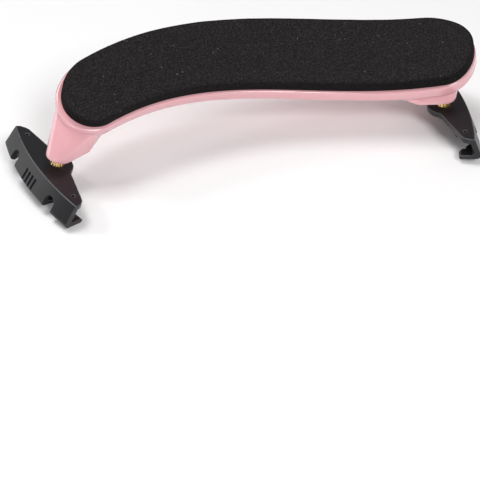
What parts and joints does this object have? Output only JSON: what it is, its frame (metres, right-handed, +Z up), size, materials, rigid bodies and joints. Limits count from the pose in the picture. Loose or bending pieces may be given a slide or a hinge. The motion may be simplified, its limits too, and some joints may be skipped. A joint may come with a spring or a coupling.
{
  "type": "violin shoulder rest",
  "caption": "Curved, padded plate on screwed claw feet that clip over a small violin's edges and hold it on the shoulder.",
  "frame": {"origin": "midway between the studs, level with the undersides of the foot plates, where the violin's back lies", "axes": "+X towards the wide shoulder end, +Y towards the violin's scroll, +Z up to the foam pad"},
  "size_m": [0.173, 0.06, 0.0428],
  "materials": {
    "pink_plastic": "smooth glossy moulding",
    "foam": "fine open-cell foam",
    "film": "thin dark double-sided film",
    "label": "blank satin label",
    "brass": "turned",
    "foot_rubber": "satin soft moulding"
  },
  "bodies": {
    "rest_body": {"body_shell": "pink_plastic", "foam_pad": "foam", "pad_adhesive": "film", "info_label": "label"},
    "left_screw": {"left_stud": "brass"},
    "right_screw": {"right_stud": "brass"},
    "left_claw_foot": {"left_foot": "foot_rubber"},
    "right_claw_foot": {"right_foot": "foot_rubber"}
  },
  "joints": [
    {"name": "left_height", "type": "slide", "parent": "rest_body", "child": "left_screw", "axis": [-0.309, 0, -0.9511], "range_m": [0, 0.0021]},
    {"name": "left_foot_turn", "type": "hinge", "parent": "left_screw", "child": "left_claw_foot", "pos_m": [-0.072, 0, 0], "axis": [-0.309, 0, -0.9511], "range_deg": [0, 1080]},
    {"name": "right_height", "type": "slide", "parent": "rest_body", "child": "right_screw", "axis": [0.0872, 0, -0.9962], "range_m": [0, 0.0021]},
    {"name": "right_foot_turn", "type": "hinge", "parent": "right_screw", "child": "right_claw_foot", "pos_m": [0.072, 0, 0], "axis": [0.0872, 0, -0.9962], "range_deg": [0, 1080]}
  ],
  "couplings": [
    {"joint": "left_height", "follows": "left_foot_turn", "m_per_rad": 0.00011141},
    {"joint": "right_height", "follows": "right_foot_turn", "m_per_rad": 0.00011141}
  ]
}
